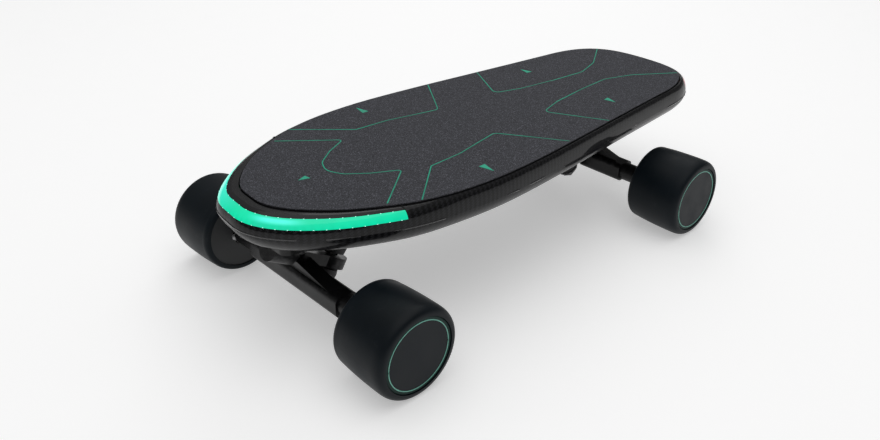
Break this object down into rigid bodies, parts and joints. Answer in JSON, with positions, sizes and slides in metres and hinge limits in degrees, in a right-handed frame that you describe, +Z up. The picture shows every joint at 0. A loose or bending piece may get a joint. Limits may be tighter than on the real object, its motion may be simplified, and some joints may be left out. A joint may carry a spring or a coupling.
{
  "type": "electric skateboard",
  "caption": "Short teardrop electric skateboard with a lit nose, grit deck, kingpin trucks and wide hub-motor wheels.",
  "frame": {"origin": "middle of the outer box, on the floor under the wheels", "axes": "+X towards the nose, +Y to the rider's left, +Z up"},
  "size_m": [0.5533, 0.301, 0.128],
  "materials": {
    "carbon_shell": "clear-coated woven carbon",
    "lid_plastic": "moulded black",
    "grip_sheet": "dark grit sheet",
    "gloss_black": "polished black",
    "green_lens": "lit translucent teal",
    "red_lens": "translucent red",
    "circuit_board": "solder mask",
    "led_green": "lit",
    "led_red": "lit",
    "holder_plastic": "moulded",
    "cell_sleeve": "shrink sleeve",
    "aluminium": "extruded",
    "steel": "plated",
    "black_plastic": "moulded",
    "rubber": "moulded rubber",
    "black_steel": "black oxide",
    "truck_black": "satin black coat",
    "bushing_rubber": "cast urethane",
    "tyre": "satin urethane",
    "wheel_cap": "fine satin",
    "core_plastic": "moulded",
    "black_aluminium": "black anodised",
    "magnet": "nickel plated",
    "stator_steel": "laminated",
    "copper": "enamelled wire"
  },
  "bodies": {
    "deck": {"lower_shell": "carbon_shell", "deck_plate": "lid_plastic", "grip_sheet": "grip_sheet", "nose_frame": "gloss_black", "tail_frame": "gloss_black", "front_light_lens": "green_lens", "tail_light_lens": "red_lens", "front_light_board": "circuit_board", "tail_light_board": "circuit_board", "front_leds": "led_green", "tail_leds": "led_red", "battery_holder": "holder_plastic", "battery_cells": "cell_sleeve", "battery_board": "circuit_board", "controller_board": "circuit_board", "controller_heat_sink": "aluminium", "load_sensors": "steel", "charge_socket": "black_plastic", "power_switch": "black_plastic", "lid_screws": "black_steel", "truck_bolts": "black_steel", "kingpins": "black_steel", "kingpin_nuts": "black_steel", "cup_washers": "black_steel", "riser_pads": "rubber", "front_baseplate": "truck_black", "front_pivot_cup": "rubber", "front_bushings": "bushing_rubber", "rear_baseplate": "truck_black", "rear_pivot_cup": "rubber", "rear_bushings": "bushing_rubber"},
    "front_truck": {"front_hanger": "truck_black", "front_axle": "steel", "front_axle_nuts": "steel"},
    "rear_truck": {"rear_hanger": "truck_black", "rear_axle": "steel", "rear_axle_nuts": "steel", "rear_windings": "copper", "rear_left_stator": "stator_steel", "rear_right_stator": "stator_steel"},
    "power_button": {"power_button": "black_plastic"},
    "charge_cover": {"charge_cover": "rubber"},
    "front_left_wheel": {"front_left_tyre": "tyre", "front_left_cap": "wheel_cap", "front_left_bearings": "steel", "front_left_core": "core_plastic"},
    "front_right_wheel": {"front_right_tyre": "tyre", "front_right_cap": "wheel_cap", "front_right_bearings": "steel", "front_right_core": "core_plastic"},
    "rear_left_wheel": {"rear_left_tyre": "tyre", "rear_left_cap": "wheel_cap", "rear_left_bearings": "steel", "rear_left_rotor_can": "black_aluminium", "rear_left_magnets": "magnet"},
    "rear_right_wheel": {"rear_right_tyre": "tyre", "rear_right_cap": "wheel_cap", "rear_right_bearings": "steel", "rear_right_rotor_can": "black_aluminium", "rear_right_magnets": "magnet"}
  },
  "joints": [
    {"name": "front_steer", "type": "hinge", "parent": "deck", "child": "front_truck", "pos_m": [0.186, 0, 0.044], "axis": [0.866, 0, 0.5], "range_deg": [-12, 12], "stiffness_Nm_per_rad": 60},
    {"name": "rear_steer", "type": "hinge", "parent": "deck", "child": "rear_truck", "pos_m": [-0.133, 0, 0.044], "axis": [-0.866, 0, 0.5], "range_deg": [-12, 12], "stiffness_Nm_per_rad": 60},
    {"name": "front_left_spin", "type": "hinge", "parent": "front_truck", "child": "front_left_wheel", "pos_m": [0.215, 0.1215, 0.04], "axis": [0, 1, 0], "continuous": true},
    {"name": "front_right_spin", "type": "hinge", "parent": "front_truck", "child": "front_right_wheel", "pos_m": [0.215, -0.1215, 0.04], "axis": [0, 1, 0], "continuous": true},
    {"name": "rear_left_spin", "type": "hinge", "parent": "rear_truck", "child": "rear_left_wheel", "pos_m": [-0.162, 0.1215, 0.04], "axis": [0, 1, 0], "continuous": true},
    {"name": "rear_right_spin", "type": "hinge", "parent": "rear_truck", "child": "rear_right_wheel", "pos_m": [-0.162, -0.1215, 0.04], "axis": [0, 1, 0], "continuous": true},
    {"name": "power_button_press", "type": "slide", "parent": "deck", "child": "power_button", "axis": [0, 0, 1], "range_m": [0, 0.001], "stiffness_N_per_m": 600, "springref_m": -0.001},
    {"name": "charge_cover_hinge", "type": "hinge", "parent": "deck", "child": "charge_cover", "pos_m": [-0.1015, 0.0492, 0.0898], "axis": [1, 0, 0], "range_deg": [0, 100]}
  ]
}
